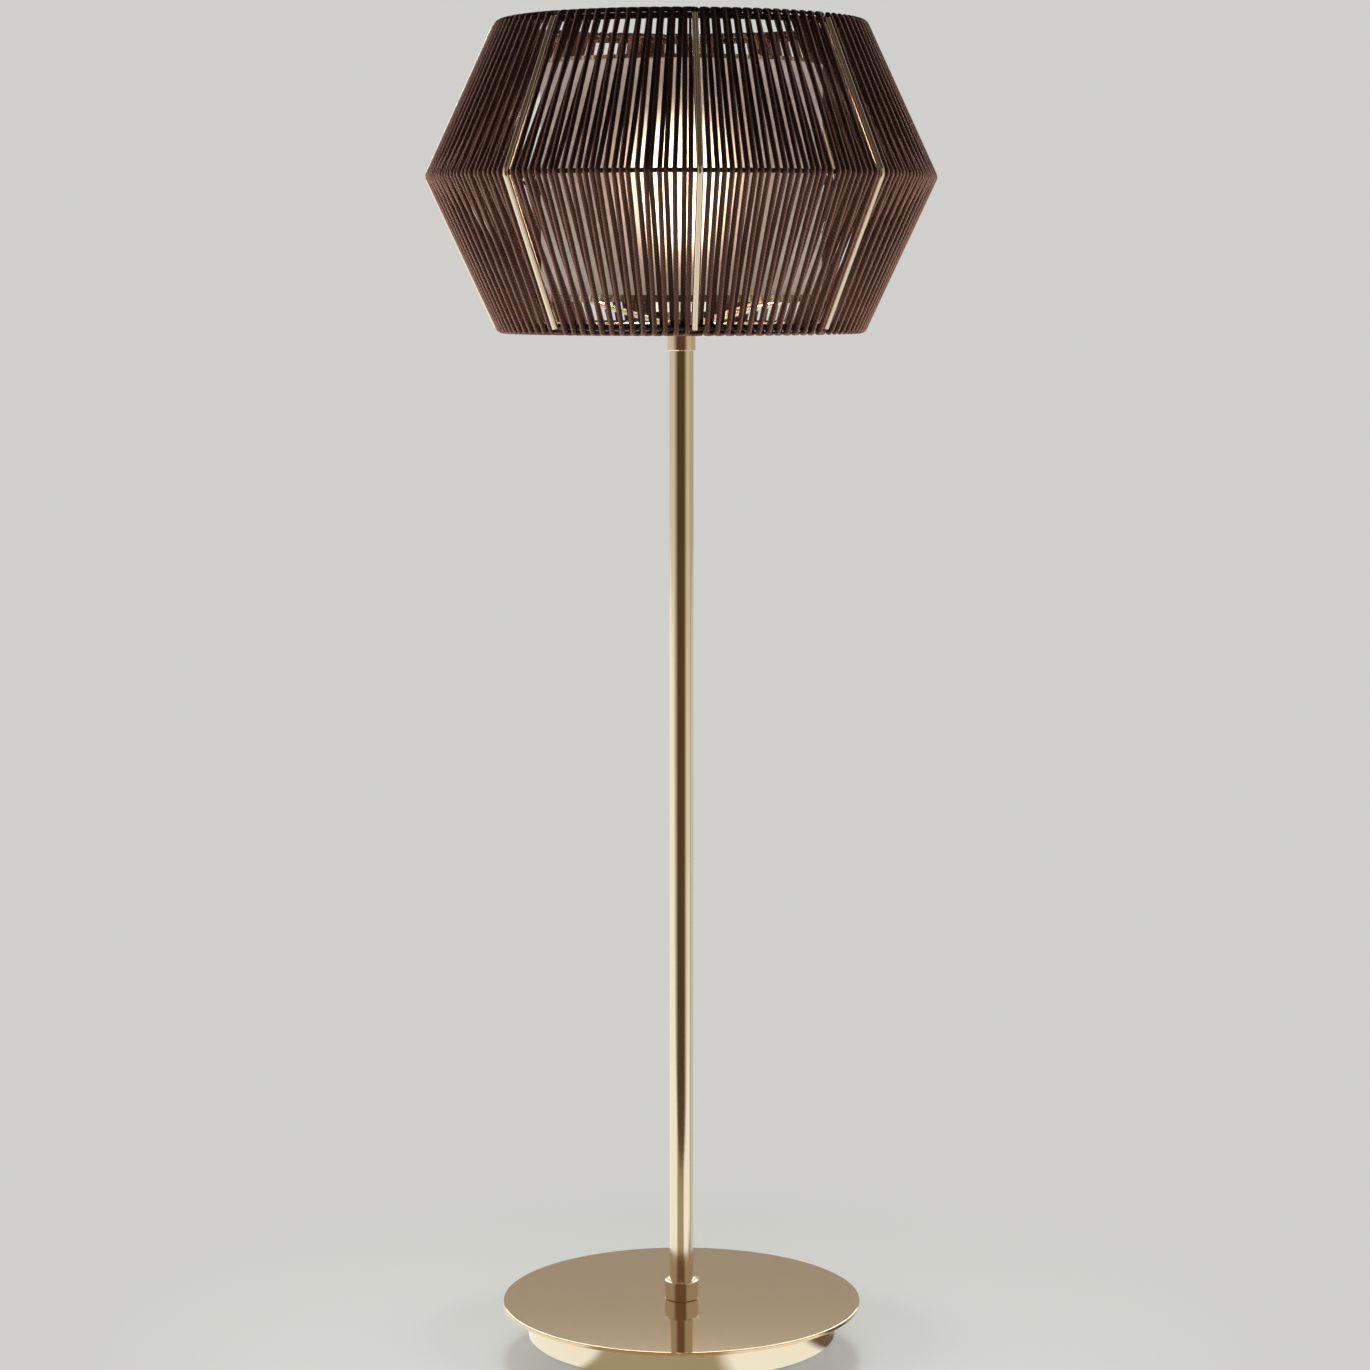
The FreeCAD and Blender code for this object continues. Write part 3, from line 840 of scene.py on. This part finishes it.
sleeve_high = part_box("diffuser_sleeve")[1]
sleeve = turned_tube("opal_sleeve", "diffuser_sleeve", sleeve_high.x - sleeve_wall, sleeve_edge)
stand_for(sleeve, "diffuser_sleeve", "shade", opal_finish())
for node in ("diffuser_bottom_trim", "diffuser_top_trim"):
    dress(cad[node], brass_round)


# Lamp holder: a moulded white cap and body with a brass screw shell and a sprung centre contact.
# It screws onto the head of the stem's upper nipple.
holder_colour = (0.72, 0.71, 0.68, 1)
holder_light = (0.80, 0.79, 0.76, 1)
white_moulding = moulded_finish("white_moulding", holder_colour, holder_light, roughness=0.32)
for node in ("holder_cap", "holder_body", "holder_insulator"):
    dress(cad[node], white_moulding)
for node in ("screw_shell", "centre_contact"):
    dress(cad[node], brass_arm)


# Bulb: an opal globe on an opal neck, with a nickel-plated screw cap and a brass eyelet.
# Globe and neck are lit, and they light the diffuser and the inside of the shade.
globe_colour = (0.95, 0.93, 0.88, 1)
globe_light = (1.0, 0.80, 0.58, 1)
globe_light_edge = (1.0, 0.76, 0.52, 1)
nickel_colour = (0.66, 0.64, 0.60, 1)
nickel_worn = (0.58, 0.56, 0.52, 1)
globe_roughness = 0.35
globe_emission = 42.0
neck_emission = 54.0


def lit_opal_finish(name, strength):
    material, tree, shader, place = finish(name)
    clouds = place_group(tree, opal_haze, Clouds_Per_Metre=60.0)
    tree.links.new(place, clouds.inputs["Place"])
    shader.inputs["Base Color"].default_value = globe_colour
    paint(tree, shader, clouds.outputs["Mask"], globe_light_edge, globe_light, "Emission Color")
    shader.inputs["Emission Strength"].default_value = strength
    shader.inputs["Roughness"].default_value = globe_roughness
    return material


dress(cad["bulb_globe"], lit_opal_finish("lit_opal_globe", globe_emission))
dress(cad["bulb_housing"], lit_opal_finish("lit_opal_neck", neck_emission))
nickel_plate = metal_finish(
    "nickel_plate",
    nickel_colour,
    nickel_worn,
    roughness=0.2,
    spread=0.12,
    line_scale=(60, 60, 900),
    relief=0.1,
)
dress(cad["bulb_cap"], nickel_plate)
dress(cad["bulb_eyelet"], brass_arm)


# Floor: a plain pale sheet that keeps the lamp's shadow near the base and ends a step in front.
# Further out it fades into the backdrop. In polished metal it shows as pale and dark cards, as in
# a studio, and the darkest one, on the right, ends near the base.
floor_reach = 5.0
floor_front = 0.45
floor_drop = 0.0003
floor_fade_start = 0.12
floor_fade_end = 0.44
floor_least_fade = 0.4
floor_colour = (0.28, 0.295, 0.265, 1)
floor_roughness = 0.25
floor_gloss = 0.3
backdrop_colour = (0.63, 0.625, 0.60, 1)
card_bright = (0.98, 1.0, 1.0, 1)
card_plain = (0.39, 0.337, 0.24, 1)
card_dark = (0.155, 0.113, 0.071, 1)
dark_card_end = 0.18
far_card_start = 0.30


def smooth_share(tree, value, start, end, least=0.0):
    """Smooth step of a value, from the least share at the start to 1 at the end."""
    node = tree.nodes.new("ShaderNodeMapRange")
    node.interpolation_type = "SMOOTHSTEP"
    node.inputs["From Min"].default_value = start
    node.inputs["From Max"].default_value = end
    node.inputs["To Min"].default_value = least
    tree.links.new(value, node.inputs["Value"])
    return node.outputs[0]


def seen_directly(tree):
    """1 for what the eye, metal and glass see, and 0 for the light that falls on surfaces."""
    path = tree.nodes.new("ShaderNodeLightPath")
    seen = calc(tree, "MAXIMUM", path.outputs["Is Camera Ray"], path.outputs["Is Glossy Ray"])
    return calc(tree, "MAXIMUM", seen, path.outputs["Is Transmission Ray"])


def bearing_ramp(tree, vector, stops):
    """Colours by the bearing from the front (-Y) towards +X: stops of degrees and colours."""
    split = tree.nodes.new("ShaderNodeSeparateXYZ")
    tree.links.new(vector, split.inputs[0])
    forward = calc(tree, "MULTIPLY", split.outputs["Y"], -1)
    bearing = calc(tree, "ARCTAN2", split.outputs["X"], forward)
    node = tree.nodes.new("ShaderNodeValToRGB")
    tree.links.new(calc(tree, "MULTIPLY_ADD", bearing, 1 / math.tau, 0.5), node.inputs["Fac"])
    while len(node.color_ramp.elements) < len(stops):
        node.color_ramp.elements.new(0.5)
    for element, (degrees, colour) in zip(node.color_ramp.elements, stops):
        element.position = degrees / 360 + 0.5
        element.color = colour
    return node.outputs["Color"]


floor_mesh = bpy.data.meshes.new("floor")
floor_corners = [
    (-floor_reach, -floor_front, -floor_drop),
    (floor_reach, -floor_front, -floor_drop),
    (floor_reach, floor_reach, -floor_drop),
    (-floor_reach, floor_reach, -floor_drop),
]
floor_mesh.from_pydata(floor_corners, [], [(0, 1, 2, 3)])
floor = bpy.data.objects.new("floor", floor_mesh)
bpy.context.scene.collection.objects.link(floor)
floor_material, floor_tree, floor_shader, floor_place = finish("pale_floor")
floor_shader.inputs["Base Color"].default_value = floor_colour
floor_shader.inputs["Roughness"].default_value = floor_roughness
floor_shader.inputs["Specular IOR Level"].default_value = floor_gloss
distance = floor_tree.nodes.new("ShaderNodeVectorMath")
distance.operation = "LENGTH"
floor_tree.links.new(floor_place, distance.inputs[0])
apart = distance.outputs["Value"]
fade = smooth_share(floor_tree, apart, floor_fade_start, floor_fade_end, floor_least_fade)
left_cards = [(-172, card_plain), (-165, card_bright), (-44, card_bright), (-39, card_plain)]
front_cards = [(16, card_plain), (24, card_bright), (66, card_bright)]
dark_cards = [(73, card_dark), (84, card_dark), (92, card_plain), (105, backdrop_colour)]
pale_cards = [(80, card_bright), (92, card_plain), (105, backdrop_colour)]
near_cards = bearing_ramp(floor_tree, floor_place, left_cards + front_cards + dark_cards)
far_cards = bearing_ramp(floor_tree, floor_place, left_cards + front_cards + pale_cards)
far = smooth_share(floor_tree, apart, dark_card_end, far_card_start)
cards = blend_colour(floor_tree, far, near_cards, far_cards)
rays = floor_tree.nodes.new("ShaderNodeLightPath")
plain = floor_tree.nodes.new("ShaderNodeEmission")
mirrored = rays.outputs["Is Glossy Ray"]
plain_colour = blend_colour(floor_tree, mirrored, backdrop_colour, cards)
floor_tree.links.new(plain_colour, plain.inputs["Color"])
floor_mix = floor_tree.nodes.new("ShaderNodeMixShader")
faded = calc(floor_tree, "MULTIPLY", fade, seen_directly(floor_tree))
shown_plain = calc(floor_tree, "MAXIMUM", faded, mirrored)
floor_tree.links.new(shown_plain, floor_mix.inputs[0])
floor_tree.links.new(floor_shader.outputs[0], floor_mix.inputs[1])
floor_tree.links.new(plain.outputs[0], floor_mix.inputs[2])
floor_tree.links.new(floor_mix.outputs[0], floor_tree.nodes["Material Output"].inputs["Surface"])
dress(floor, floor_material)


# Studio: pale walls on both sides and behind, and a dark room on the camera's side, which draws
# the dark band down the polished stem. The walls turn warm and dim at eye level, and above them
# follow the upper walls, a dark band and a ceiling. The eye sees the plain backdrop all round.
wall_left = (0.92, 0.88, 0.86, 1)
wall_right = (0.84, 0.80, 0.75, 1)
wall_far_right = (0.49, 0.44, 0.37, 1)
warm_left = (0.66, 0.585, 0.54, 1)
warm_right = (0.60, 0.50, 0.385, 1)
warm_far_right = (0.455, 0.40, 0.33, 1)
dark_room = (0.088, 0.054, 0.030, 1)
upper_room = (0.37, 0.36, 0.335, 1)
upper_dark = (0.15, 0.105, 0.065, 1)
overhead = (0.065, 0.047, 0.038, 1)
ceiling = (0.42, 0.40, 0.36, 1)
underfoot = (0.75, 0.70, 0.66, 1)
dim_light = (0.035, 0.033, 0.031, 1)
eye_level_rise = (-0.22, -0.03)
upper_rise = (0.04, 0.20)
overhead_rise = (0.42, 0.58)
ceiling_rise = (0.77, 0.87)
underfoot_fall = (-0.35, -0.60)

world = bpy.data.worlds.new("studio")
bpy.context.scene.world = world
world.use_nodes = True
sky = world.node_tree
background = sky.nodes["Background"]
view_direction = sky.nodes.new("ShaderNodeTexCoord").outputs["Generated"]
heading = sky.nodes.new("ShaderNodeSeparateXYZ")
sky.links.new(view_direction, heading.inputs[0])


def wall_ramp(left, right, far_right):
    """Walls all round at one height: left, the dark room in front, right, the backdrop behind."""
    stops = [(-180, backdrop_colour), (-135, left), (-75, left), (-36, dark_room), (26, dark_room)]
    stops += [(52, right), (79, right), (94, far_right), (135, far_right), (180, backdrop_colour)]
    return bearing_ramp(sky, view_direction, stops)


walls = wall_ramp(wall_left, wall_right, wall_far_right)
eye_level_walls = wall_ramp(warm_left, warm_right, warm_far_right)
upper_walls = bearing_ramp(
    sky,
    view_direction,
    [(-60, upper_room), (-35, upper_dark), (26, upper_dark), (38, upper_room)],
)
sine_of_elevation = heading.outputs["Z"]
studio = walls
for (start, end), colour in (
    (eye_level_rise, eye_level_walls),
    (upper_rise, upper_walls),
    (overhead_rise, overhead),
    (ceiling_rise, ceiling),
    (underfoot_fall, underfoot),
):
    studio = blend_colour(sky, smooth_share(sky, sine_of_elevation, start, end), studio, colour)
eye = sky.nodes.new("ShaderNodeLightPath")
lit = blend_colour(sky, eye.outputs["Is Glossy Ray"], dim_light, studio)
direct = calc(sky, "MAXIMUM", eye.outputs["Is Camera Ray"], eye.outputs["Is Transmission Ray"])
sky.links.new(blend_colour(sky, direct, lit, backdrop_colour), background.inputs["Color"])


# Lights: one large soft panel behind for the floor, one low in front that lights the underside of
# the shade as a bright table does, and one on each side, as from two windows.
def soft_panel(name, place, target, size, power, colour=(1, 1, 1), mirrored=False):
    """Soft panel that the camera doesn't see, nor polished metal unless it is mirrored."""
    light = bpy.data.lights.new(name, "AREA")
    light.shape = "RECTANGLE"
    light.size, light.size_y = size
    light.energy = power
    light.color = colour
    panel = bpy.data.objects.new(name, light)
    panel.location = place
    panel.rotation_euler = (Vector(target) - Vector(place)).to_track_quat("-Z", "Y").to_euler()
    panel.visible_camera = False
    panel.visible_glossy = mirrored
    bpy.context.scene.collection.objects.link(panel)


foot = (0, 0, 0)
shade_middle = (0, 0, 0.75)
window_size = (0.9, 0.7)
table_light = (1.0, 0.82, 0.66)
soft_panel("back_panel", (0.0, 2.4, 1.5), foot, size=(2.4, 1.2), power=50, mirrored=True)
soft_panel("front_glow", (0.0, -0.45, 0.02), (0.0, -0.45, 1.0), (1.5, 0.4), 4.5, table_light)
soft_panel("left_panel", (-1.1, 0.2, 0.42), shade_middle, window_size, power=40)
soft_panel("right_panel", (1.1, 0.2, 0.42), shade_middle, window_size, power=34)


# Camera: level with the lower half of the shade, tilted a little down, at a portrait focal length.
# Its place and its focal length give the lamp the outline that it has in the photograph.
camera_place = (0.0023, -2.260, 0.7123)
camera_pitch = math.radians(6.77)
photo_width = 1370
focal_pixels = 3418
camera_data = bpy.data.cameras.new("camera")
camera_data.sensor_width = 36
camera_data.lens = focal_pixels / photo_width * camera_data.sensor_width
camera = bpy.data.objects.new("camera", camera_data)
camera.location = camera_place
camera.rotation_euler = (math.pi / 2 - camera_pitch, 0, 0)
bpy.context.scene.collection.objects.link(camera)
bpy.context.scene.camera = camera
bpy.context.scene.view_settings.view_transform = "Standard"
